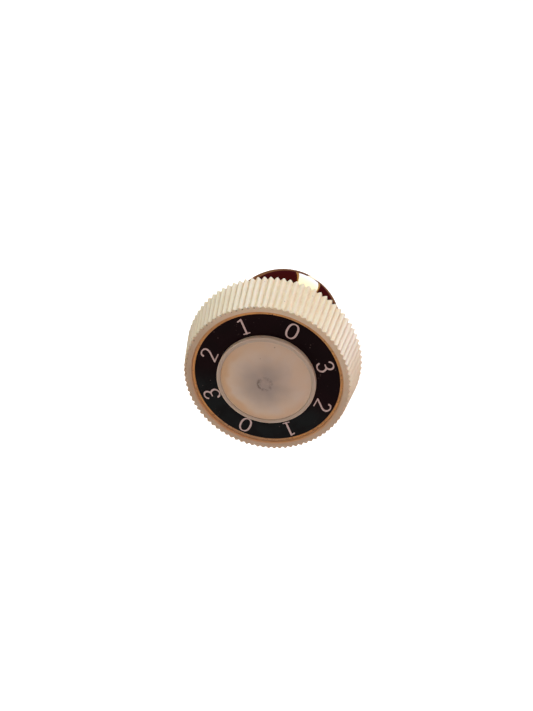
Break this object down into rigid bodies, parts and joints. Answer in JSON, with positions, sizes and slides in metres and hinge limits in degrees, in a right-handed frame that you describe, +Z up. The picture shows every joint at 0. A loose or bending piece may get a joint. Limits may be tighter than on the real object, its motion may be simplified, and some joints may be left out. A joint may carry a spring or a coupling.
{
  "type": "rotary selector switch",
  "caption": "Rotary selector switch: fluted cream knob with a black numbered dial and a shallow domed cap, on a polished brass ball that holds the switch.",
  "frame": {"origin": "centre of the threaded mounting hole at the ball's flat foot", "axes": "-Y out of the knob's face along the shaft, +Z up through the selected figure, +X to the right seen from the front"},
  "size_m": [0.0428, 0.0399, 0.0428],
  "materials": {
    "cream_plastic": "moulded urea plastic, aged cream, fluted",
    "dial_black": "black sheet plastic with printed figures",
    "amber_line": "amber-coloured plastic",
    "cap_cream": "translucent cream plastic",
    "polished_brass": "spun and polished brass",
    "turned_brass": "turned brass",
    "steel": "bright steel",
    "spring_bronze": "rolled phosphor bronze",
    "silver": "silver contact",
    "phenolic": "moulded brown phenolic",
    "nylon": "moulded nylon"
  },
  "bodies": {
    "ball_housing": {"ball_front_shell": "polished_brass", "ball_rear_shell": "polished_brass", "mounting_bush": "turned_brass", "bushing": "turned_brass", "lock_washer": "steel", "ring_nut": "turned_brass", "front_plate": "steel", "switch_body": "phenolic", "rear_cover": "phenolic", "body_screws": "steel", "detent_spring": "spring_bronze", "common_ring": "turned_brass", "blade_rivets": "silver", "fixed_rivets": "silver", "contact_blade_1": "spring_bronze", "blade_terminal_1": "turned_brass", "fixed_contact_1": "turned_brass", "contact_blade_2": "spring_bronze", "blade_terminal_2": "turned_brass", "fixed_contact_2": "turned_brass", "contact_blade_3": "spring_bronze", "blade_terminal_3": "turned_brass", "fixed_contact_3": "turned_brass"},
    "knob": {"shaft": "steel", "knob_rim": "cream_plastic", "dial_ring": "dial_black", "trim_ring": "amber_line", "centre_cap": "cap_cream", "hub_insert": "turned_brass", "knob_screw": "steel", "screw_washer": "steel", "shaft_clip": "steel", "star_wheel": "steel", "cam_1": "nylon", "cam_2": "nylon", "cam_3": "nylon", "cam_spacer_1": "nylon", "cam_spacer_2": "nylon"}
  },
  "joints": [
    {"name": "knob_turn", "type": "hinge", "parent": "ball_housing", "child": "knob", "pos_m": [0, -0.028, 0], "axis": [0, 1, 0], "continuous": true, "deforming": ["detent_spring", "contact_blade_1", "contact_blade_2", "contact_blade_3", "blade_rivets"]}
  ]
}
